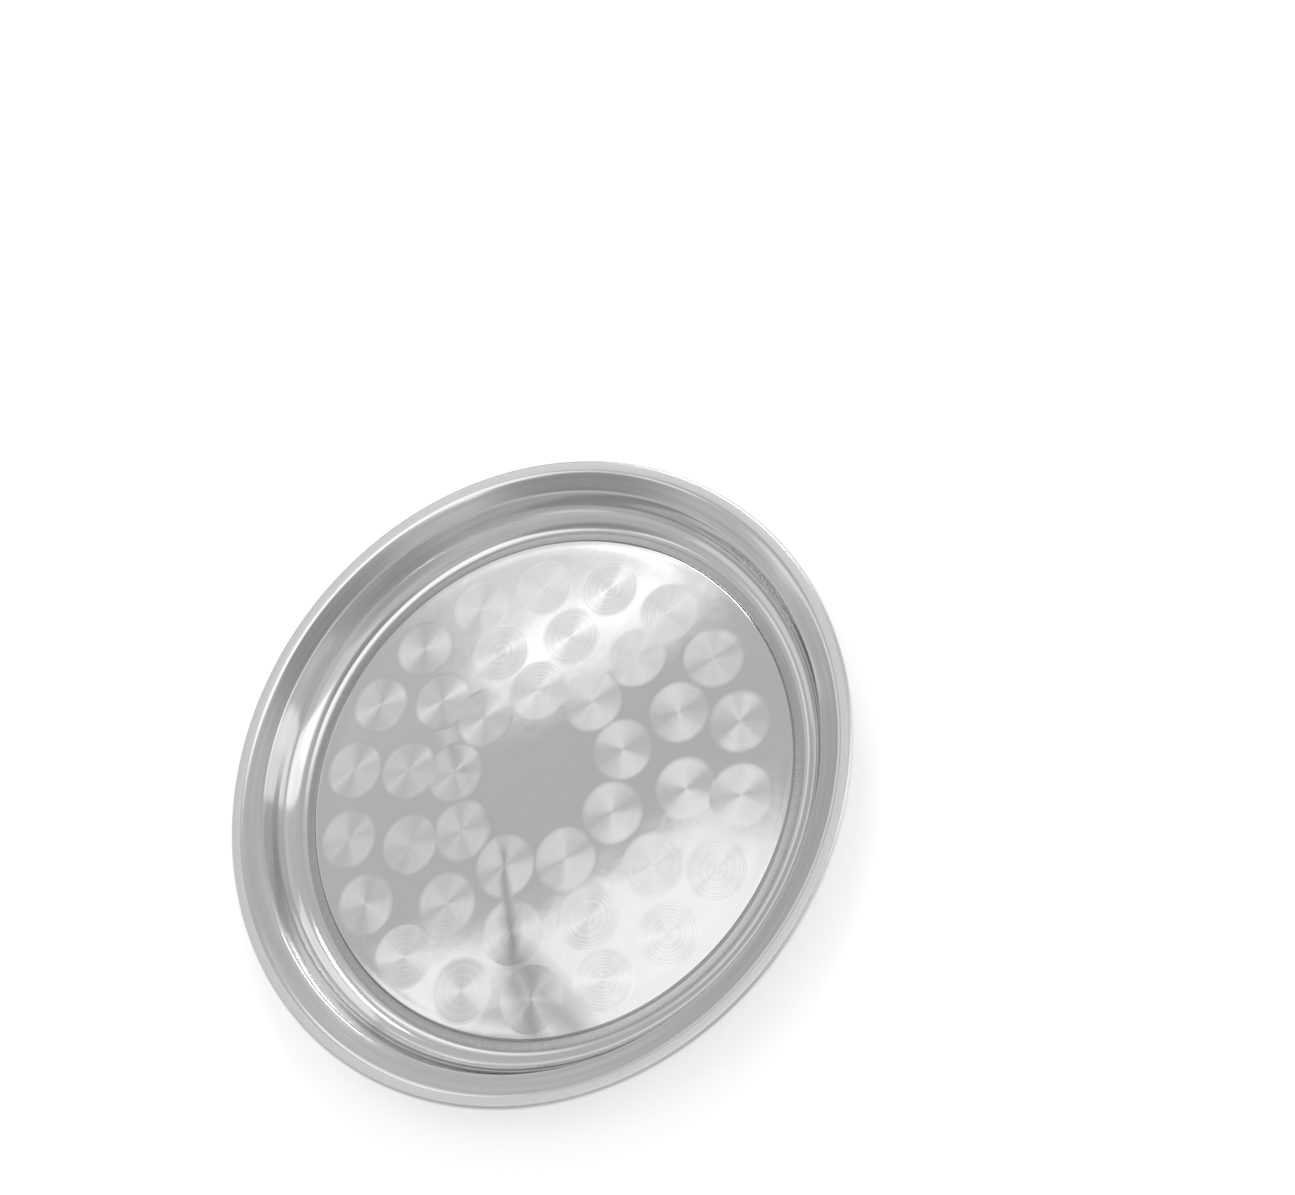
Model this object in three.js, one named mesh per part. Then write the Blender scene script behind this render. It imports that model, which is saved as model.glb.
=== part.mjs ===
// Round serving tray with a wired rim.
// One stainless sheet is pressed to a shallow pan, and its edge is curled over a steel wire ring.
// Millimetres and degrees, +Z up. The origin is on the tray's axis, in the plane that the tray stands on.
import * as THREE from "three";

// Driving dimensions, taken from the rim inwards: the floor fills what the border leaves
const TRAY_DIAMETER = 355.6;
const SHEET = 0.6;

// Rolled rim: the wire, the curl round it and the lip beside it, which rises a little outwards
const WIRE_DIAMETER = 2.0;
const WIRE_CLEARANCE = 0.3;
const CURL_WRAP = 265;
const LIP_WIDTH = 4.85;
const LIP_SLOPE = 9;

// Flange between the lip and the wall, rising outwards more steeply
const FLANGE_WIDTH = 10.2;
const FLANGE_SLOPE = 24;
const CREST_ROUND = 9;
const SHOULDER_ROUND = 1.5;

// Wall of the well: nearly upright at the shoulder, on a large round at its foot
const WALL_HEIGHT = 23.0;
const WALL_SLOPE = 80;
const WALL_FOOT_ROUND = 15;

// Flat foot ring that the tray stands on, inside that round, and the raised floor panel inside the ring
const FOOT_RING_WIDTH = 3.2;
const FLOOR_RISE = 1.0;
const FLOOR_STEP_RUN = 1.0;
const FLOOR_STEP_ROUND = 0.9;

// Fineness of the turned surfaces
const FACETS_AROUND = 72;
const ARC_STEP = 22;
const WIRE_SIDES = 10;

const radians = THREE.MathUtils.degToRad;

// A station of the sheet's middle line: a point in (radius, height), and the way to the upper side there
function station(point, upper) {
  return { point, upper };
}

// Stations along an arc that is entered at a point in a direction, turning left where turn is positive
function arcStations(start, direction, radius, turn) {
  const left = new THREE.Vector2(-direction.y, direction.x);
  const side = Math.sign(turn);
  const centre = start.clone().addScaledVector(left, side * radius);
  const steps = Math.ceil(Math.abs(turn) / radians(ARC_STEP));
  const stations = [];
  for (let step = 0; step <= steps; step += 1) {
    const upper = left.clone().rotateAround(new THREE.Vector2(), (turn * step) / steps);
    stations.push(station(centre.clone().addScaledVector(upper, -side * radius), upper));
  }
  return stations;
}

// Stations of the bend between two straight runs that meet at a corner
function bendStations(before, corner, after, radius) {
  const incoming = corner.clone().sub(before).normalize();
  const outgoing = after.clone().sub(corner).normalize();
  const turn = Math.atan2(incoming.cross(outgoing), incoming.dot(outgoing));
  const setback = radius * Math.tan(Math.abs(turn) / 2);
  return arcStations(corner.clone().addScaledVector(incoming, -setback), incoming, radius, turn);
}

// A turned solid: a profile in (radius, height), counter-clockwise, spun about the Z axis
function turned(profile) {
  return new THREE.LatheGeometry(profile, FACETS_AROUND).rotateX(Math.PI / 2);
}

// The wire's place, which the curl and the lip are laid round
const wireRingRadius = TRAY_DIAMETER / 2 - SHEET - WIRE_CLEARANCE - WIRE_DIAMETER / 2;
const curlRadius = WIRE_DIAMETER / 2 + WIRE_CLEARANCE + SHEET / 2;

// Corners of the sheet's middle line, from the rim inwards
const curlStartRadius = wireRingRadius - curlRadius * Math.sin(radians(LIP_SLOPE));
const crestRadius = curlStartRadius - LIP_WIDTH;
const shoulderRadius = crestRadius - FLANGE_WIDTH;
const wallFootRadius = shoulderRadius - WALL_HEIGHT / Math.tan(radians(WALL_SLOPE));
const roundStartRadius = wallFootRadius - WALL_FOOT_ROUND * Math.tan(radians(WALL_SLOPE) / 2);
const stepFootRadius = roundStartRadius - FOOT_RING_WIDTH;
const floorRadius = stepFootRadius - FLOOR_STEP_RUN;

const footHeight = SHEET / 2;
const floorHeight = footHeight + FLOOR_RISE;
const shoulderHeight = footHeight + WALL_HEIGHT;
const crestHeight = shoulderHeight + FLANGE_WIDTH * Math.tan(radians(FLANGE_SLOPE));
const curlStartHeight = crestHeight + LIP_WIDTH * Math.tan(radians(LIP_SLOPE));
const wireHeight = curlStartHeight - curlRadius * Math.cos(radians(LIP_SLOPE));

const floorCentre = new THREE.Vector2(0, floorHeight);
const floorEdge = new THREE.Vector2(floorRadius, floorHeight);
const stepFoot = new THREE.Vector2(stepFootRadius, footHeight);
const wallFoot = new THREE.Vector2(wallFootRadius, footHeight);
const shoulder = new THREE.Vector2(shoulderRadius, shoulderHeight);
const crest = new THREE.Vector2(crestRadius, crestHeight);
const curlStart = new THREE.Vector2(curlStartRadius, curlStartHeight);
const lipDirection = curlStart.clone().sub(crest).normalize();

// Tray pan: the whole pressed sheet as one middle line, with half the sheet's thickness on each side
function trayPan() {
  const middleLine = [
    station(floorCentre, new THREE.Vector2(0, 1)),
    ...bendStations(floorCentre, floorEdge, stepFoot, FLOOR_STEP_ROUND),
    ...bendStations(floorEdge, stepFoot, wallFoot, FLOOR_STEP_ROUND),
    ...bendStations(stepFoot, wallFoot, shoulder, WALL_FOOT_ROUND),
    ...bendStations(wallFoot, shoulder, crest, SHOULDER_ROUND),
    ...bendStations(shoulder, crest, curlStart, CREST_ROUND),
    ...arcStations(curlStart, lipDirection, curlRadius, -radians(CURL_WRAP)),
  ];
  const face = (side) => middleLine.map(({ point, upper }) => point.clone().addScaledVector(upper, side));
  const underside = face(-SHEET / 2);
  const topside = face(SHEET / 2);
  const polishedSteel = new THREE.MeshStandardMaterial({ color: 0xc4c4c4, metalness: 1, roughness: 0.22 });
  const pan = new THREE.Mesh(turned([...underside, ...topside.reverse()]), polishedSteel);
  pan.name = "tray_pan";
  return pan;
}

// Rim wire: a closed ring of round wire that lies in the curl and stiffens the rim
function rimWire() {
  const section = [];
  for (let side = 0; side <= WIRE_SIDES; side += 1) {
    const angle = (2 * Math.PI * side) / WIRE_SIDES;
    const radius = wireRingRadius + (WIRE_DIAMETER / 2) * Math.cos(angle);
    const height = wireHeight + (WIRE_DIAMETER / 2) * Math.sin(angle);
    section.push(new THREE.Vector2(radius, height));
  }
  const drawnWire = new THREE.MeshStandardMaterial({ color: 0x9c9c9c, metalness: 1, roughness: 0.45 });
  const wire = new THREE.Mesh(turned(section), drawnWire);
  wire.name = "rim_wire";
  return wire;
}

const tray = new THREE.Group();
tray.name = "serving_tray";
tray.add(trayPan(), rimWire());

export default tray;
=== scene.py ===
# Round serving tray of stainless steel, with an engine-turned floor and a rim rolled over a wire.
# Metres, +Z up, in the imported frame: the tray's axis is the Z axis, and it stands on z = 0.
import math

import bpy
from mathutils import Matrix, Vector


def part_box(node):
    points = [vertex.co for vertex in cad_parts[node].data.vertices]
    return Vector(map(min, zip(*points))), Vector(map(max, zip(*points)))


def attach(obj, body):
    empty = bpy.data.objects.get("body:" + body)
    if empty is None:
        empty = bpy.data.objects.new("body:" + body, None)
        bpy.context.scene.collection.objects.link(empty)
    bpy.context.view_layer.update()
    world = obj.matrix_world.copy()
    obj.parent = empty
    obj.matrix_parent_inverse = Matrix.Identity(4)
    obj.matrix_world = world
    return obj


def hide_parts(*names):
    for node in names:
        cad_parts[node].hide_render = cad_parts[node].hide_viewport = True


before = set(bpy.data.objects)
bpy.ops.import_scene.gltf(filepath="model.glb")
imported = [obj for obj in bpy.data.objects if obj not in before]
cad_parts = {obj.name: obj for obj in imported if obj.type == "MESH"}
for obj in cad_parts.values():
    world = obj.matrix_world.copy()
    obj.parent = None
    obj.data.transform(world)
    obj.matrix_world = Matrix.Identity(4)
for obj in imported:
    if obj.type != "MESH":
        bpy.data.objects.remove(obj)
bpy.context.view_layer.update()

bpy.context.scene.view_settings.view_transform = "Standard"


# Tray pan
# One stainless sheet, pressed to a raised floor panel, a flat foot ring, a steep wall and a sloping flange.
# Its edge is curled down and round the rim wire, so that no cut edge shows from above.
MM = 0.001
SHEET = 0.6 * MM
WIRE_DIAMETER = 2.0 * MM
WIRE_CLEARANCE = 0.3 * MM
CURL_WRAP = math.radians(265)
LIP_WIDTH = 4.85 * MM
LIP_SLOPE = math.radians(9)
FLANGE_WIDTH = 10.2 * MM
FLANGE_SLOPE = math.radians(24)
CREST_ROUND = 9 * MM
SHOULDER_ROUND = 1.5 * MM
WALL_HEIGHT = 23.0 * MM
WALL_SLOPE = math.radians(80)
WALL_FOOT_ROUND = 15 * MM
FOOT_RING_WIDTH = 3.2 * MM
FLOOR_RISE = 1.0 * MM
FLOOR_STEP_RUN = 1.0 * MM
FLOOR_STEP_ROUND = 0.9 * MM

# Fineness of the mesh, and the bend from which an edge is shaded as sharp
FACETS_AROUND = 256
ARC_STEP = math.radians(8)
RUN_STEP = 3 * MM
SHARP_BEND = math.radians(50)

# Places of the wire and of the sheet's corners, from the rim inwards
rim_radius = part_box("tray_pan")[1][0]
wire_ring_radius = rim_radius - SHEET - WIRE_CLEARANCE - WIRE_DIAMETER / 2
curl_radius = WIRE_DIAMETER / 2 + WIRE_CLEARANCE + SHEET / 2
curl_start_radius = wire_ring_radius - curl_radius * math.sin(LIP_SLOPE)
crest_radius = curl_start_radius - LIP_WIDTH
shoulder_radius = crest_radius - FLANGE_WIDTH
wall_foot_radius = shoulder_radius - WALL_HEIGHT / math.tan(WALL_SLOPE)
round_start_radius = wall_foot_radius - WALL_FOOT_ROUND * math.tan(WALL_SLOPE / 2)
step_foot_radius = round_start_radius - FOOT_RING_WIDTH
floor_radius = step_foot_radius - FLOOR_STEP_RUN

foot_height = SHEET / 2
floor_height = foot_height + FLOOR_RISE
floor_top = floor_height + SHEET / 2
shoulder_height = foot_height + WALL_HEIGHT
crest_height = shoulder_height + FLANGE_WIDTH * math.tan(FLANGE_SLOPE)
curl_start_height = crest_height + LIP_WIDTH * math.tan(LIP_SLOPE)
wire_height = curl_start_height - curl_radius * math.cos(LIP_SLOPE)

floor_centre = Vector((0, floor_height))
floor_edge = Vector((floor_radius, floor_height))
step_foot = Vector((step_foot_radius, foot_height))
wall_foot = Vector((wall_foot_radius, foot_height))
shoulder = Vector((shoulder_radius, shoulder_height))
crest = Vector((crest_radius, crest_height))
curl_start = Vector((curl_start_radius, curl_start_height))


# Stations of the sheet's middle line: a point in (radius, height), and the way to the upper side there
def arc_stations(start, heading, radius, turn):
    left = Vector((-heading.y, heading.x))
    side = math.copysign(1, turn)
    centre = start + left * side * radius
    steps = math.ceil(abs(turn) / ARC_STEP)
    stations = []
    for step in range(steps + 1):
        upper = Matrix.Rotation(turn * step / steps, 2) @ left
        stations.append((centre - upper * side * radius, upper))
    return stations


# The bend between two straight runs that meet at a corner
def bend_stations(before, corner, after, radius):
    incoming = (corner - before).normalized()
    outgoing = (after - corner).normalized()
    turn = math.atan2(incoming.cross(outgoing), incoming.dot(outgoing))
    setback = radius * math.tan(abs(turn) / 2)
    return arc_stations(corner - incoming * setback, incoming, radius, turn)


# Long straight runs get stations of their own, so that the press marks have points to bend
def filled(stations):
    line = [stations[0]]
    for point, upper in stations[1:]:
        last_point, last_upper = line[-1]
        pieces = max(1, math.ceil((point - last_point).length / RUN_STEP))
        for piece in range(1, pieces + 1):
            share = piece / pieces
            line.append((last_point.lerp(point, share), last_upper.lerp(upper, share).normalized()))
    return line


# Finish of each stretch of the upper side, and of the underside, in the order of the pan's material slots
FLOOR_FINISH, RING_FINISH, BORDER_FINISH, LIP_FINISH, UNDER_FINISH = range(5)

lip_heading = (curl_start - crest).normalized()
floor_bend = bend_stations(floor_centre, floor_edge, step_foot, FLOOR_STEP_ROUND)
foot_bend = bend_stations(step_foot, wall_foot, shoulder, WALL_FOOT_ROUND)
crest_bend = bend_stations(shoulder, crest, curl_start, CREST_ROUND)
curl = arc_stations(curl_start, lip_heading, curl_radius, -CURL_WRAP)
floor_stations = filled([(floor_centre, Vector((0, 1))), *floor_bend])
ring_stations = filled([
    floor_bend[-1],
    *bend_stations(floor_edge, step_foot, wall_foot, FLOOR_STEP_ROUND),
    *foot_bend[:2],
])
border_stations = filled([
    *foot_bend[1:],
    *bend_stations(wall_foot, shoulder, crest, SHOULDER_ROUND),
    *crest_bend,
])
lip_stations = filled([crest_bend[-1], *curl])
stretches = [
    (floor_stations[1:], FLOOR_FINISH),
    (ring_stations[1:], RING_FINISH),
    (border_stations[1:], BORDER_FINISH),
    (lip_stations[1:], LIP_FINISH),
]

# Press marks: the floor panel is crowned a little and flares at its edge, and the wall and the flange wander
# by about a tenth of a millimetre round the tray, as thin sheet does when it springs back from the die.
# Each wave of the wander has its count round the tray, its start and its share
FLOOR_CROWN = 0.3 * MM
EDGE_FLARE = 0.26 * MM
EDGE_FLARE_WIDTH = 9 * MM
WANDER = 0.06 * MM
WANDER_WAVES = ((3, 0.4, 1.0), (5, 2.1, 0.8), (8, 4.4, 0.5), (13, 1.2, 0.3), (29, 0.7, 0.1))


def press_mark(radius, azimuth):
    if radius < floor_radius:
        on_edge = max(0.0, 1 - (floor_radius - radius) / EDGE_FLARE_WIDTH)
        return FLOOR_CROWN * (1 - (radius / floor_radius) ** 2) + EDGE_FLARE * on_edge ** 2
    if radius < round_start_radius:
        return 0.0
    share_of_border = (radius - round_start_radius) / (crest_radius - round_start_radius)
    envelope = math.sin(math.pi * min(1.0, share_of_border))
    waves = sum(share * math.sin(count * azimuth + start) for count, start, share in WANDER_WAVES)
    return WANDER * envelope * waves


# The points round the tray at one station, on the upper side (1) or the underside (-1) of the sheet
def ring_of_points(point, upper, side):
    ring = []
    for facet in range(FACETS_AROUND):
        azimuth = 2 * math.pi * facet / FACETS_AROUND
        lift = side * SHEET / 2 + press_mark(point.x, azimuth)
        radius = point.x + upper.x * lift
        height = point.y + upper.y * lift
        ring.append((radius * math.cos(azimuth), radius * math.sin(azimuth), height))
    return ring


# The pan's skin: the upper side from the middle out and round the curl, then the underside back to the middle
skin_rings = []
skin_finishes = []
for stations, finish in stretches:
    for point, upper in stations:
        skin_rings.append(ring_of_points(point, upper, 1))
        skin_finishes.append(finish)
for stations, _ in reversed(stretches):
    for point, upper in reversed(stations):
        skin_rings.append(ring_of_points(point, upper, -1))
        skin_finishes.append(UNDER_FINISH)

pan_points = [(0, 0, floor_top + FLOOR_CROWN)]
for ring in skin_rings:
    pan_points.extend(ring)
under_middle = len(pan_points)
last_ring = under_middle - FACETS_AROUND
pan_points.append((0, 0, floor_height - SHEET / 2 + FLOOR_CROWN))

pan_faces = []
pan_finishes = []
for facet in range(FACETS_AROUND):
    following = (facet + 1) % FACETS_AROUND
    pan_faces.append((0, 1 + facet, 1 + following))
    pan_finishes.append(FLOOR_FINISH)
    for ring_index, finish in enumerate(skin_finishes[1:]):
        inner = 1 + ring_index * FACETS_AROUND
        outer = inner + FACETS_AROUND
        pan_faces.append((inner + facet, outer + facet, outer + following, inner + following))
        pan_finishes.append(finish)
    pan_faces.append((last_ring + facet, under_middle, last_ring + following))
    pan_finishes.append(UNDER_FINISH)


def mesh_object(name, points, faces):
    mesh = bpy.data.meshes.new(name)
    mesh.from_pydata(points, [], faces)
    made = bpy.data.objects.new(name, mesh)
    bpy.context.scene.collection.objects.link(made)
    return made


pan = mesh_object("pressed_pan", pan_points, pan_faces)
pan.data.polygons.foreach_set("material_index", pan_finishes)
pan.data.shade_smooth()
pan.data.set_sharp_from_angle(angle=SHARP_BEND)


# A node's input takes another node's output or a plain number
def fed(tree, socket, value):
    if isinstance(value, bpy.types.NodeSocket):
        tree.links.new(value, socket)
    else:
        socket.default_value = value


# One step of node arithmetic
def worked_out(tree, operation, *values):
    node = tree.nodes.new("ShaderNodeMath")
    node.operation = operation
    for socket, value in zip(node.inputs, values):
        fed(tree, socket, value)
    return node.outputs[0]


def clamped(tree, value):
    return worked_out(tree, "MINIMUM", worked_out(tree, "MAXIMUM", value, 0.0), 1.0)


def length_of(tree, x, y):
    square_x = worked_out(tree, "MULTIPLY", x, x)
    return worked_out(tree, "SQRT", worked_out(tree, "MULTIPLY_ADD", y, y, square_x))


# A value that moves between two ends as a mask does
def between(tree, low, high, mask):
    if isinstance(low, bpy.types.NodeSocket) or isinstance(high, bpy.types.NodeSocket):
        span = worked_out(tree, "SUBTRACT", high, low)
        return worked_out(tree, "MULTIPLY_ADD", span, mask, low)
    return worked_out(tree, "MULTIPLY_ADD", mask, high - low, low)


def combined(tree, x, y, z):
    node = tree.nodes.new("ShaderNodeCombineXYZ")
    for socket, value in zip(node.inputs, (x, y, z)):
        fed(tree, socket, value)
    return node.outputs[0]


# A grey that changes over the surface, led to a colour's socket
def greyed(tree, grey, socket):
    tree.links.new(combined(tree, grey, grey, grey), socket)


# The place on the tray, as the sockets x, y and z
def place_on_tray(tree):
    coordinates = tree.nodes.new("ShaderNodeTexCoord")
    parts = tree.nodes.new("ShaderNodeSeparateXYZ")
    tree.links.new(coordinates.outputs["Object"], parts.inputs[0])
    return parts.outputs


def noise_value(tree, vector, w=0.0, scale=1.0, detail=2.0):
    noise = tree.nodes.new("ShaderNodeTexNoise")
    noise.noise_dimensions = "4D"
    tree.links.new(vector, noise.inputs["Vector"])
    fed(tree, noise.inputs["W"], w)
    noise.inputs["Scale"].default_value = scale
    noise.inputs["Detail"].default_value = detail
    return noise.outputs[0]


# Polishing lines: hairlines that run round the tray, left by a wheel while the sheet was spun against it
lines_group = bpy.data.node_groups.new("polishing_lines", "ShaderNodeTree")
lines_group.interface.new_socket("Lines per metre", in_out="INPUT", socket_type="NodeSocketFloat")
lines_group.interface.new_socket("Breaks round", in_out="INPUT", socket_type="NodeSocketFloat")
lines_group.interface.new_socket("Lines", in_out="OUTPUT", socket_type="NodeSocketFloat")
lines_in = lines_group.nodes.new("NodeGroupInput")
lines_out = lines_group.nodes.new("NodeGroupOutput")
lines_per_metre = lines_in.outputs["Lines per metre"]
breaks = lines_in.outputs["Breaks round"]
x, y, z = place_on_tray(lines_group)
azimuth = worked_out(lines_group, "ARCTAN2", y, x)
line_place = combined(
    lines_group,
    worked_out(lines_group, "MULTIPLY", worked_out(lines_group, "COSINE", azimuth), breaks),
    worked_out(lines_group, "MULTIPLY", worked_out(lines_group, "SINE", azimuth), breaks),
    worked_out(lines_group, "MULTIPLY", length_of(lines_group, x, y), lines_per_metre),
)
line_height = worked_out(lines_group, "MULTIPLY", z, lines_per_metre)
lines = noise_value(lines_group, line_place, w=line_height, detail=3.0)
lines_group.links.new(lines, lines_out.inputs["Lines"])

# Handling marks: faint smudges and wiped patches that dull a polished sheet here and there
marks_group = bpy.data.node_groups.new("handling_marks", "ShaderNodeTree")
marks_group.interface.new_socket("Patches per metre", in_out="INPUT", socket_type="NodeSocketFloat")
marks_group.interface.new_socket("Dulling", in_out="OUTPUT", socket_type="NodeSocketFloat")
marks_in = marks_group.nodes.new("NodeGroupInput")
marks_out = marks_group.nodes.new("NodeGroupOutput")
patches = marks_in.outputs["Patches per metre"]
x, y, z = place_on_tray(marks_group)
mark_place = combined(
    marks_group,
    worked_out(marks_group, "MULTIPLY", x, patches),
    worked_out(marks_group, "MULTIPLY", y, patches),
    worked_out(marks_group, "MULTIPLY", z, patches),
)
marks = noise_value(marks_group, mark_place, detail=4.0)
marks_group.links.new(marks, marks_out.inputs["Dulling"])


def placed_group(tree, group, **values):
    node = tree.nodes.new("ShaderNodeGroup")
    node.node_tree = group
    for name, value in values.items():
        node.inputs[name.replace("_", " ")].default_value = value
    return node.outputs[0]


def steel_finish(name, grey, anisotropy=0.0):
    material = bpy.data.materials.new(name)
    material.use_nodes = True
    steel = material.node_tree.nodes["Principled BSDF"]
    steel.inputs["Base Color"].default_value = (grey, grey, grey, 1)
    steel.inputs["Metallic"].default_value = 1.0
    steel.inputs["Anisotropic"].default_value = anisotropy
    return material, material.node_tree, steel


# Relief too fine for the mesh: a height in metres, or one from 0 to 1 with the depth that it stands for
def bumped(tree, steel, height, depth=1.0):
    bump = tree.nodes.new("ShaderNodeBump")
    bump.inputs["Strength"].default_value = 1.0
    bump.inputs["Distance"].default_value = depth
    tree.links.new(height, bump.inputs["Height"])
    tree.links.new(bump.outputs[0], steel.inputs["Normal"])


# Engine turning: a spinning abrasive stub, pressed on the satin floor spot by spot, leaves discs of fine
# circular grooves in three rings. The light spreads across the grooves, so every spot shows a bow tie.
# Each ring has its radius, its count of spots, its middle, a little off the tray's axis, and its start
SPOT_RINGS = (
    (50.6 * MM, 9, -2.7 * MM, 2.4 * MM, math.radians(0.5)),
    (83.2 * MM, 12, -1.9 * MM, -1.4 * MM, math.radians(-0.3)),
    (116.2 * MM, 18, -4.5 * MM, -0.3 * MM, math.radians(-0.2)),
)
SPOT_RADIUS = 17.6 * MM
SPOT_FEATHER = 2.5 * MM
GROOVE_WIDTH = 0.6 * MM
GROOVE_DEPTH = 0.008 * MM
GRAIN_PER_METRE = 5000.0
GRAIN_DEPTH = 0.0045 * MM
WAVE_DEPTH = 0.25 * MM
ACROSS_GRAIN = math.radians(-25)
PLAIN_GREY = 0.66
SPOT_GREY = 0.72

# The spots are numbered, with a step of this from ring to ring, so that no two have the same grooves
NUMBERS_PER_RING = 40.0

floor_finish, tree, steel = steel_finish("engine_turned_floor", PLAIN_GREY, anisotropy=1.0)
x, y, z = place_on_tray(tree)
across_x = math.cos(ACROSS_GRAIN)
across_y = math.sin(ACROSS_GRAIN)
on_spot = 0.0
spot_number = 0.0
groove_place = worked_out(tree, "MULTIPLY", x, 1.0 / GROOVE_WIDTH)
for ring_index, (ring_radius, spot_count, middle_x, middle_y, first_spot) in enumerate(SPOT_RINGS, start=1):
    pitch = 2 * math.pi / spot_count
    ring_x = worked_out(tree, "SUBTRACT", x, middle_x)
    ring_y = worked_out(tree, "SUBTRACT", y, middle_y)
    azimuth = worked_out(tree, "ARCTAN2", ring_y, ring_x)
    steps_round = worked_out(tree, "MULTIPLY_ADD", azimuth, 1 / pitch, -first_spot / pitch)
    spot_index = worked_out(tree, "ROUND", steps_round)
    spot_azimuth = worked_out(tree, "MULTIPLY_ADD", spot_index, pitch, first_spot)
    cosine = worked_out(tree, "COSINE", spot_azimuth)
    sine = worked_out(tree, "SINE", spot_azimuth)
    from_x = worked_out(tree, "MULTIPLY_ADD", cosine, -ring_radius, ring_x)
    from_y = worked_out(tree, "MULTIPLY_ADD", sine, -ring_radius, ring_y)
    distance = length_of(tree, from_x, from_y)
    inside = worked_out(tree, "LESS_THAN", distance, SPOT_RADIUS)
    across_x = between(tree, across_x, from_x, inside)
    across_y = between(tree, across_y, from_y, inside)
    own_grooves = worked_out(tree, "MULTIPLY", distance, 1.0 / GROOVE_WIDTH)
    groove_place = between(tree, groove_place, own_grooves, inside)
    own_number = worked_out(tree, "ADD", spot_index, NUMBERS_PER_RING * ring_index)
    spot_number = between(tree, spot_number, own_number, inside)
    feathered = worked_out(tree, "MULTIPLY_ADD", distance, -1 / SPOT_FEATHER, SPOT_RADIUS / SPOT_FEATHER)
    on_spot = worked_out(tree, "MAXIMUM", clamped(tree, feathered), on_spot)

# The spots carry grooves, the satin between them a fine even grain, and the whole panel is a little wavy
tree.links.new(combined(tree, across_x, across_y, 0.0), steel.inputs["Tangent"])
grooves = noise_value(tree, combined(tree, groove_place, spot_number, 0.0), detail=2.0)
grain = noise_value(tree, combined(tree, x, y, 0.0), scale=GRAIN_PER_METRE, detail=1.0)
dulling = placed_group(tree, marks_group, Patches_per_metre=18.0)
groove_height = worked_out(tree, "MULTIPLY", grooves, GROOVE_DEPTH)
grain_height = worked_out(tree, "MULTIPLY", grain, GRAIN_DEPTH)
fine_height = between(tree, grain_height, groove_height, on_spot)
bumped(tree, steel, worked_out(tree, "MULTIPLY_ADD", dulling, WAVE_DEPTH, fine_height))

# Part of each spot stays as smooth as the sheet was, between grooves that spread the light
PLAIN_ROUGHNESS = (0.05, 0.11)
SPOT_ROUGHNESS = (0.12, 0.22)
SCORED_FROM = 0.4375
SCORED_CONTRAST = 8.0
over_score = worked_out(tree, "MULTIPLY_ADD", grooves, SCORED_CONTRAST, -SCORED_FROM * SCORED_CONTRAST)
plain_roughness = between(tree, *PLAIN_ROUGHNESS, dulling)
spot_roughness = between(tree, *SPOT_ROUGHNESS, clamped(tree, over_score))
clean_roughness = between(tree, plain_roughness, spot_roughness, on_spot)
clean_grey = between(tree, PLAIN_GREY, SPOT_GREY, on_spot)


# How near a place is to a straight line, from 0 at half_width to 1 on it
def on_line(tree, x, y, start, end, half_width):
    span_x = end[0] - start[0]
    span_y = end[1] - start[1]
    square = span_x ** 2 + span_y ** 2
    from_x = worked_out(tree, "SUBTRACT", x, start[0])
    from_y = worked_out(tree, "SUBTRACT", y, start[1])
    along_x = worked_out(tree, "MULTIPLY", from_x, span_x / square)
    along = clamped(tree, worked_out(tree, "MULTIPLY_ADD", from_y, span_y / square, along_x))
    off_x = worked_out(tree, "MULTIPLY_ADD", along, -span_x, from_x)
    off_y = worked_out(tree, "MULTIPLY_ADD", along, -span_y, from_y)
    distance = length_of(tree, off_x, off_y)
    return clamped(tree, worked_out(tree, "MULTIPLY_ADD", distance, -1 / half_width, 1.0))


# A long dark line, darker and rougher than the floor around it, crosses the floor, wandering a little, and
# ends in a wide dark, rough patch.
# Each stretch of it has its start, its end, its half width and its strength
DARK_LINE_STRETCHES = (
    ((-12 * MM, 70 * MM), (-25 * MM, 42 * MM), 6 * MM, 0.45),
    ((-25 * MM, 42 * MM), (-46 * MM, -9 * MM), 3 * MM, 0.5),
    ((-46 * MM, -9 * MM), (-70 * MM, -37 * MM), 5 * MM, 0.9),
    ((-70 * MM, -37 * MM), (-92 * MM, -62 * MM), 8 * MM, 1.0),
    ((-84 * MM, -58 * MM), (-90 * MM, -104 * MM), 15 * MM, 1.1),
    ((-92 * MM, -62 * MM), (-108 * MM, -90 * MM), 13 * MM, 1.1),
)
DARK_LINE_GREY = 0.52
DARK_LINE_ROUGHNESS = 0.36
DARK_LINE_WANDER = 10 * MM
DARK_LINE_PATCHINESS = 1.6
jitter = placed_group(tree, marks_group, Patches_per_metre=60.0)
jittered_x = worked_out(tree, "MULTIPLY_ADD", jitter, DARK_LINE_WANDER, x)
wandered_x = worked_out(tree, "SUBTRACT", jittered_x, DARK_LINE_WANDER / 2)
dark_line_stretches = 0.0
for start, end, half_width, strength in DARK_LINE_STRETCHES:
    nearness = on_line(tree, wandered_x, y, start, end, half_width)
    stretch = worked_out(tree, "MULTIPLY", nearness, strength)
    dark_line_stretches = worked_out(tree, "MAXIMUM", stretch, dark_line_stretches)
patchiness = worked_out(tree, "MULTIPLY", dulling, DARK_LINE_PATCHINESS)
dark_line = clamped(tree, worked_out(tree, "MULTIPLY", dark_line_stretches, patchiness))
# Along the dark line, the floor's grey is darker and its roughness is higher
tree.links.new(between(tree, clean_roughness, DARK_LINE_ROUGHNESS, dark_line), steel.inputs["Roughness"])
greyed(tree, between(tree, clean_grey, DARK_LINE_GREY, dark_line), steel.inputs["Base Color"])

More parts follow.
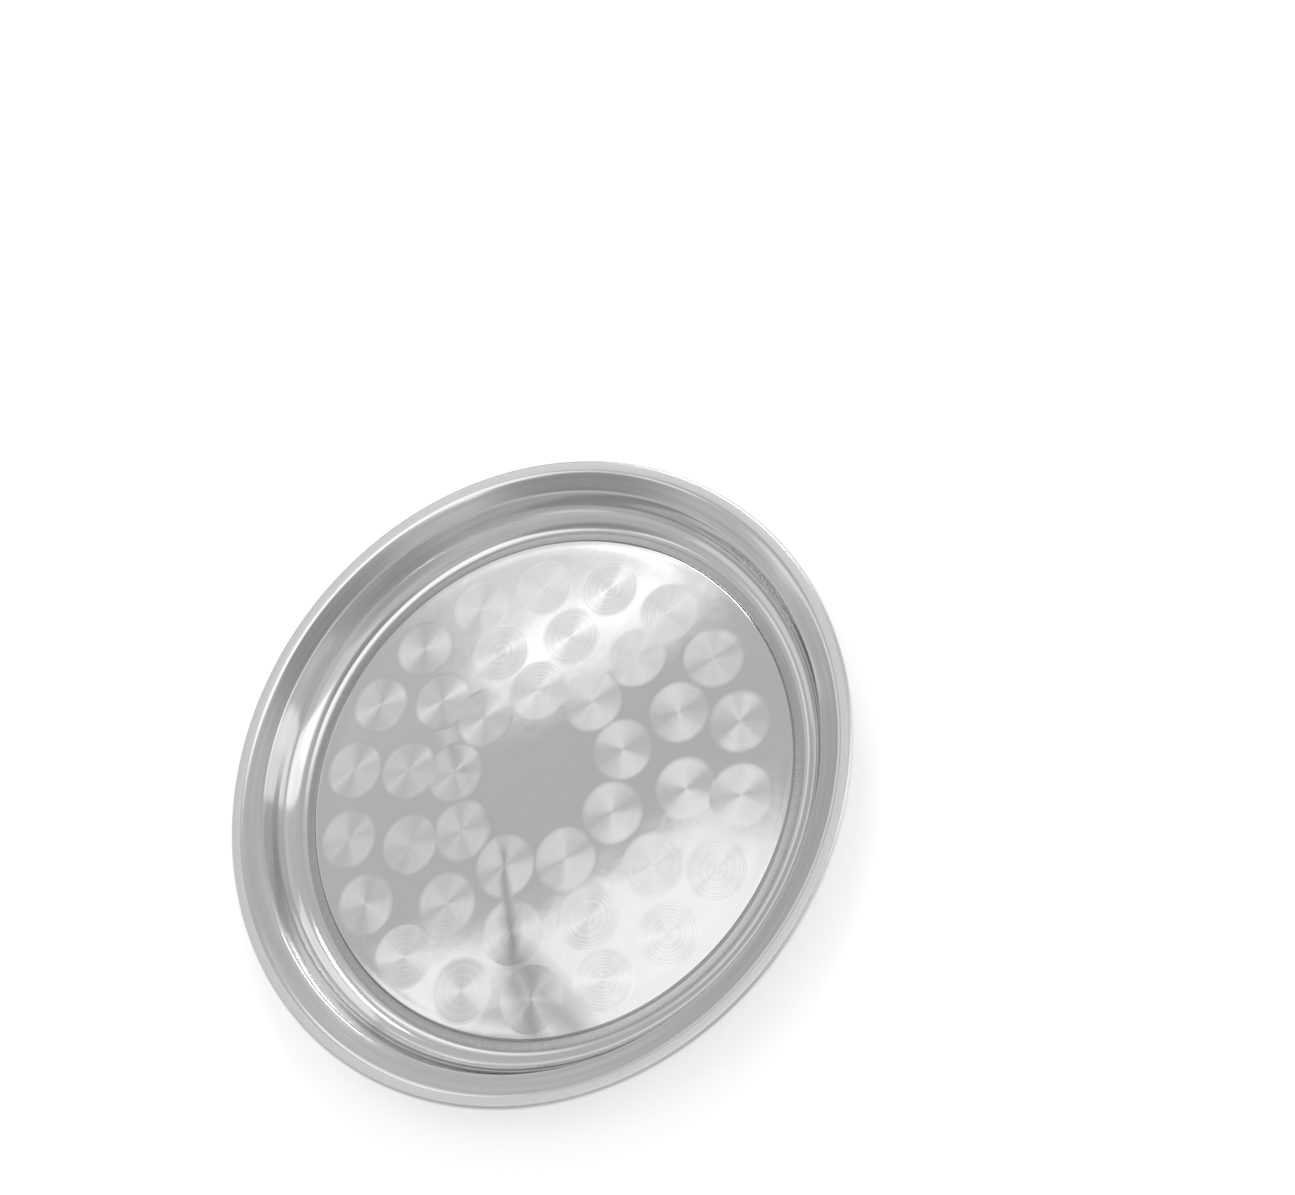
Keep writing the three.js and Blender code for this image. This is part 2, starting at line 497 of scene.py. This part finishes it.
# Foot ring: left dull between the floor and the polished wall, with fine ticks across it
RING_GREY = 0.43
TICK_CONTRAST = 0.08
TICK_DEPTH = 0.02 * MM
RING_ROUGHNESS = (0.14, 0.30)
ring_finish, tree, steel = steel_finish("dull_ring", RING_GREY)
ticks = placed_group(tree, lines_group, Lines_per_metre=300.0, Breaks_round=260.0)
tick_grey = between(tree, RING_GREY - TICK_CONTRAST, RING_GREY + TICK_CONTRAST, ticks)
tree.links.new(between(tree, *RING_ROUGHNESS, ticks), steel.inputs["Roughness"])
greyed(tree, tick_grey, steel.inputs["Base Color"])
bumped(tree, steel, ticks, TICK_DEPTH)

# Polished border: buffed bright, with hairlines round the tray that show where a reflection fades.
# The upper wall's grey is painted lighter from the foot round up to the shoulder, a painted sheen that stands
# in for brighter reflections there
BORDER_GREY = 0.68
STREAK_DARKER = 0.16
STREAK_LIGHTER = 0.12
# Painted sheen: how much the wall's grey is lifted, and the heights where the lift starts and is full
WALL_PAINTED_SHEEN = 0.17
PAINTED_SHEEN_FROM = 3 * MM
PAINTED_SHEEN_FULL = 12 * MM
BORDER_LINE_DEPTH = 0.006 * MM
BORDER_ROUGHNESS = (0.05, 0.17)
SMUDGED_ROUGHNESS = 0.14
SMUDGED_SHARE = 0.3
border_finish, tree, steel = steel_finish("polished_border", BORDER_GREY)
hairlines = placed_group(tree, lines_group, Lines_per_metre=1400.0, Breaks_round=2.5)
streaks = placed_group(tree, lines_group, Lines_per_metre=420.0, Breaks_round=1.6)
smudges = placed_group(tree, marks_group, Patches_per_metre=40.0)
smudged = worked_out(tree, "MULTIPLY", smudges, SMUDGED_SHARE)
line_roughness = between(tree, *BORDER_ROUGHNESS, hairlines)
tree.links.new(between(tree, line_roughness, SMUDGED_ROUGHNESS, smudged), steel.inputs["Roughness"])
x, y, z = place_on_tray(tree)
# Painted sheen: the grey rises from the foot up the wall and stops at the shoulder, standing in for brighter
# reflections
above_foot = worked_out(tree, "SUBTRACT", z, PAINTED_SHEEN_FROM)
sheen_up_wall = clamped(tree, worked_out(tree, "DIVIDE", above_foot, PAINTED_SHEEN_FULL - PAINTED_SHEEN_FROM))
painted_sheen = worked_out(tree, "MULTIPLY", sheen_up_wall, worked_out(tree, "LESS_THAN", z, shoulder_height))
streak_grey = between(tree, BORDER_GREY - STREAK_DARKER, BORDER_GREY + STREAK_LIGHTER, streaks)
border_grey = worked_out(tree, "MULTIPLY_ADD", painted_sheen, WALL_PAINTED_SHEEN, streak_grey)
greyed(tree, border_grey, steel.inputs["Base Color"])
bumped(tree, steel, worked_out(tree, "ADD", hairlines, streaks), BORDER_LINE_DEPTH)

# Satin lip: brushed round the tray after rolling
LIP_GREY = 0.72
LIP_LINE_DEPTH = 0.003 * MM
LIP_ROUGHNESS = (0.22, 0.32)
lip_finish, tree, steel = steel_finish("satin_lip", LIP_GREY, anisotropy=0.4)
x, y, z = place_on_tray(tree)
tree.links.new(combined(tree, x, y, 0.0), steel.inputs["Tangent"])
hairlines = placed_group(tree, lines_group, Lines_per_metre=2600.0, Breaks_round=6.0)
tree.links.new(between(tree, *LIP_ROUGHNESS, hairlines), steel.inputs["Roughness"])
bumped(tree, steel, hairlines, LIP_LINE_DEPTH)

# Underside: the sheet as the press left it, with faint drawing lines and dull patches
UNDER_GREY = 0.55
UNDER_LINE_DEPTH = 0.006 * MM
UNDER_ROUGHNESS = (0.24, 0.40)
DULLED_ROUGHNESS = 0.42
DULLED_SHARE = 0.4
under_finish, tree, steel = steel_finish("pressed_underside", UNDER_GREY)
hairlines = placed_group(tree, lines_group, Lines_per_metre=700.0, Breaks_round=4.0)
dulling = placed_group(tree, marks_group, Patches_per_metre=25.0)
dulled = worked_out(tree, "MULTIPLY", dulling, DULLED_SHARE)
line_roughness = between(tree, *UNDER_ROUGHNESS, hairlines)
tree.links.new(between(tree, line_roughness, DULLED_ROUGHNESS, dulled), steel.inputs["Roughness"])
bumped(tree, steel, hairlines, UNDER_LINE_DEPTH)

for finish in (floor_finish, ring_finish, border_finish, lip_finish, under_finish):
    pan.data.materials.append(finish)
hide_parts("tray_pan")
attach(pan, "root")


# Rim wire
# A closed ring of dull drawn steel wire, laid in the rim before the sheet is curled round it.
# The curl holds it, and it shows only through the narrow gap under the rim.
WIRE_SIDES = 16
WIRE_GREY = 0.34
WIRE_LINE_DEPTH = 0.004 * MM
WIRE_ROUGHNESS = (0.38, 0.56)
wire_points = []
wire_faces = []
for facet in range(FACETS_AROUND):
    azimuth = 2 * math.pi * facet / FACETS_AROUND
    here = facet * WIRE_SIDES
    there = ((facet + 1) % FACETS_AROUND) * WIRE_SIDES
    for side in range(WIRE_SIDES):
        turn = 2 * math.pi * side / WIRE_SIDES
        radius = wire_ring_radius + WIRE_DIAMETER / 2 * math.cos(turn)
        height = wire_height + WIRE_DIAMETER / 2 * math.sin(turn)
        wire_points.append((radius * math.cos(azimuth), radius * math.sin(azimuth), height))
        next_side = (side + 1) % WIRE_SIDES
        wire_faces.append((here + side, there + side, there + next_side, here + next_side))
wire = mesh_object("wire_ring", wire_points, wire_faces)
wire.data.shade_smooth()

wire_finish, tree, steel = steel_finish("drawn_wire", WIRE_GREY)
hairlines = placed_group(tree, lines_group, Lines_per_metre=3000.0, Breaks_round=3.0)
tree.links.new(between(tree, *WIRE_ROUGHNESS, hairlines), steel.inputs["Roughness"])
bumped(tree, steel, hairlines, WIRE_LINE_DEPTH)
wire.data.materials.append(wire_finish)
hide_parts("rim_wire")
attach(wire, "root")


# Camera
# It looks down on the tray at the photograph's slant and roll, from five rim radii away.
# The tray's middle lies off the frame's middle, so the camera is turned aside by as much.
FRAME_WIDTH = 1295
FRAME_HEIGHT = 1195
TRAY_MIDDLE = (542.9, 775.0)
FOCAL_PIXELS = 1633
CAMERA_DISTANCE = 5.0 * rim_radius
CAMERA_TILT = math.radians(30.57)
CAMERA_ROLL = math.radians(52.66)
SENSOR_WIDTH = 36

tray_middle = Vector((0, 0, floor_top))
sideways = Vector((1, 0, 0))
backwards = Vector((0, -math.sin(CAMERA_TILT), math.cos(CAMERA_TILT)))
camera_place = tray_middle + backwards * CAMERA_DISTANCE
level = Matrix((sideways, backwards.cross(sideways), backwards)).transposed()
rolled = level @ Matrix.Rotation(-CAMERA_ROLL, 3, "Z")
aim = Vector((TRAY_MIDDLE[0] - FRAME_WIDTH / 2, FRAME_HEIGHT / 2 - TRAY_MIDDLE[1], -FOCAL_PIXELS))
aimed = rolled @ Vector((0, 0, -1)).rotation_difference(aim).to_matrix().transposed()

camera_data = bpy.data.cameras.new("camera")
camera_data.sensor_width = SENSOR_WIDTH
camera_data.lens = FOCAL_PIXELS / FRAME_WIDTH * SENSOR_WIDTH
camera = bpy.data.objects.new("camera", camera_data)
camera.matrix_world = Matrix.Translation(camera_place) @ aimed.to_4x4()
bpy.context.scene.collection.objects.link(camera)
bpy.context.scene.camera = camera


# Studio
# A wide white table top in a pale grey room, with flat lamps overhead and softboxes round the table.
# None of it is part of the tray.
TABLE_SIZE = 6.0
TABLE_GREY = 0.85
TABLE_ROUGHNESS = 0.7
TABLE_SPECULAR = 0.2
TABLE_LIFT = 0.42
half = TABLE_SIZE / 2
table_corners = [(-half, -half, 0), (half, -half, 0), (half, half, 0), (-half, half, 0)]
table = mesh_object("table_top", table_corners, [(0, 1, 2, 3)])
table_white = bpy.data.materials.new("table_white")
table_white.use_nodes = True
table.data.materials.append(table_white)
tree = table_white.node_tree
laminate = tree.nodes["Principled BSDF"]
laminate.inputs["Base Color"].default_value = (TABLE_GREY, TABLE_GREY, TABLE_GREY, 1)
laminate.inputs["Roughness"].default_value = TABLE_ROUGHNESS
laminate.inputs["Specular IOR Level"].default_value = TABLE_SPECULAR
laminate.inputs["Emission Color"].default_value = (1, 1, 1, 1)
rays = tree.nodes.new("ShaderNodeLightPath").outputs
seen = worked_out(tree, "MAXIMUM", rays["Is Camera Ray"], rays["Is Glossy Ray"])
tree.links.new(worked_out(tree, "MULTIPLY", seen, TABLE_LIFT), laminate.inputs["Emission Strength"])

# From below, the table top is clear, so that the tray's underside can be looked at
clear = tree.nodes.new("ShaderNodeBsdfTransparent")
one_sided = tree.nodes.new("ShaderNodeMixShader")
tree.links.new(tree.nodes.new("ShaderNodeNewGeometry").outputs["Backfacing"], one_sided.inputs[0])
tree.links.new(laminate.outputs[0], one_sided.inputs[1])
tree.links.new(clear.outputs[0], one_sided.inputs[2])
tree.links.new(one_sided.outputs[0], tree.nodes["Material Output"].inputs["Surface"])

# The room is pale grey, and the camera sees it as plain white. It is darker towards a few places, each with
# its azimuth, elevation and half width in degrees, and its depth
ROOM_GREY = 0.64
DARK_CORNERS = (
    (-80, 80, 17, 0.25),
    (158, 58, 17, 0.26),
    (-110, 18, 26, 0.18),
    (100, 22, 22, 0.10),
)


def towards(azimuth, elevation):
    across = math.cos(math.radians(elevation))
    return Vector((
        across * math.cos(math.radians(azimuth)),
        across * math.sin(math.radians(azimuth)),
        math.sin(math.radians(elevation)),
    ))


world = bpy.data.worlds.new("room")
world.use_nodes = True
bpy.context.scene.world = world
tree = world.node_tree
directions = tree.nodes.new("ShaderNodeTexCoord").outputs["Generated"]
room_grey = ROOM_GREY
for azimuth, elevation, half_width, depth in DARK_CORNERS:
    nearness = tree.nodes.new("ShaderNodeVectorMath")
    nearness.operation = "DOT_PRODUCT"
    tree.links.new(directions, nearness.inputs[0])
    nearness.inputs[1].default_value = towards(azimuth, elevation)
    corner = tree.nodes.new("ShaderNodeMapRange")
    corner.interpolation_type = "SMOOTHSTEP"
    tree.links.new(nearness.outputs["Value"], corner.inputs["Value"])
    corner.inputs["From Min"].default_value = math.cos(math.radians(half_width))
    corner.inputs["From Max"].default_value = 1.0
    corner.inputs["To Min"].default_value = 0.0
    corner.inputs["To Max"].default_value = depth
    room_grey = worked_out(tree, "SUBTRACT", room_grey, corner.outputs["Result"])
seen = tree.nodes.new("ShaderNodeLightPath").outputs["Is Camera Ray"]
greyed(tree, worked_out(tree, "MAXIMUM", room_grey, seen), tree.nodes["Background"].inputs["Color"])


# A lamp of even brightness over its face, whatever its size
def area_lamp(name, place, facing, width, height, brightness):
    lamp = bpy.data.lights.new(name, "AREA")
    lamp.shape = "RECTANGLE"
    lamp.size = width
    lamp.size_y = height
    lamp.energy = brightness * math.pi * width * height
    holder = bpy.data.objects.new(name, lamp)
    holder.matrix_world = Matrix.Translation(place) @ facing
    holder.visible_camera = False
    bpy.context.scene.collection.objects.link(holder)


# Flat lamps face down from one height. Each is placed by where the floor panel would mirror its two ends to
# the camera, in rim radii from the tray's middle. Its width there and its brightness follow
LAMP_HEIGHT = 1.2
mirrored_camera = camera_place - Vector((0, 0, 2 * (camera_place.z - floor_top)))
spread = (LAMP_HEIGHT - mirrored_camera.z) / (floor_top - mirrored_camera.z)


def overhead(floor_x, floor_y):
    floor_place = Vector((floor_x * rim_radius, floor_y * rim_radius, floor_top))
    return mirrored_camera + (floor_place - mirrored_camera) * spread


def flat_lamp(name, start, end, width, brightness):
    start_place = overhead(*start)
    end_place = overhead(*end)
    along = end_place - start_place
    facing = Matrix.Rotation(math.atan2(along.y, along.x), 4, "Z")
    middle = (start_place + end_place) / 2
    area_lamp(name, middle, facing, along.length, width * rim_radius * spread, brightness)


flat_lamp("strip_far", (0.13, 0.40), (0.78, 0.06), 0.14, 1.1)
flat_lamp("panel_far", (0.16, 0.38), (0.80, 0.05), 0.42, 0.55)
flat_lamp("panel_far_right", (0.30, 0.80), (0.85, 0.45), 0.5, 0.35)
flat_lamp("panel_near", (-0.50, -0.46), (0.25, -0.70), 0.36, 0.68)
flat_lamp("strip_right", (0.95, -0.40), (0.95, 0.60), 0.16, 0.4)
flat_lamp("panel_front", (-0.67, -0.89), (0.40, -1.05), 0.55, 0.9)
flat_lamp("strip_left", (-0.79, 0.03), (-0.56, -0.30), 0.22, 0.75)
flat_lamp("panel_right", (2.0, 0.3), (2.5, 0.3), 1.6, 10.0)
flat_lamp("panel_back", (-1.39, 0.92), (0.2, 1.48), 0.89, 0.4)

# Softboxes stand round the table and face the tray. Each has its azimuth, elevation, width and height in
# degrees, and its brightness
SOFTBOX_DISTANCE = 2.4


def softbox(name, azimuth, elevation, width, height, brightness):
    away = towards(azimuth, elevation)
    facing = away.to_track_quat("Z", "Y").to_matrix().to_4x4()
    real_width = 2 * SOFTBOX_DISTANCE * math.tan(math.radians(width) / 2)
    real_height = 2 * SOFTBOX_DISTANCE * math.tan(math.radians(height) / 2)
    area_lamp(name, away * SOFTBOX_DISTANCE, facing, real_width, real_height, brightness)


softbox("softbox_front_right", -42, 36, 26, 56, 0.6)
softbox("softbox_front", -64, 50, 36, 40, 0.2)
softbox("softbox_right", 20, 20, 34, 30, 0.4)
softbox("softbox_left", 130, 20, 40, 20, 0.25)
softbox("softbox_far", 75, 9, 70, 14, 0.3)
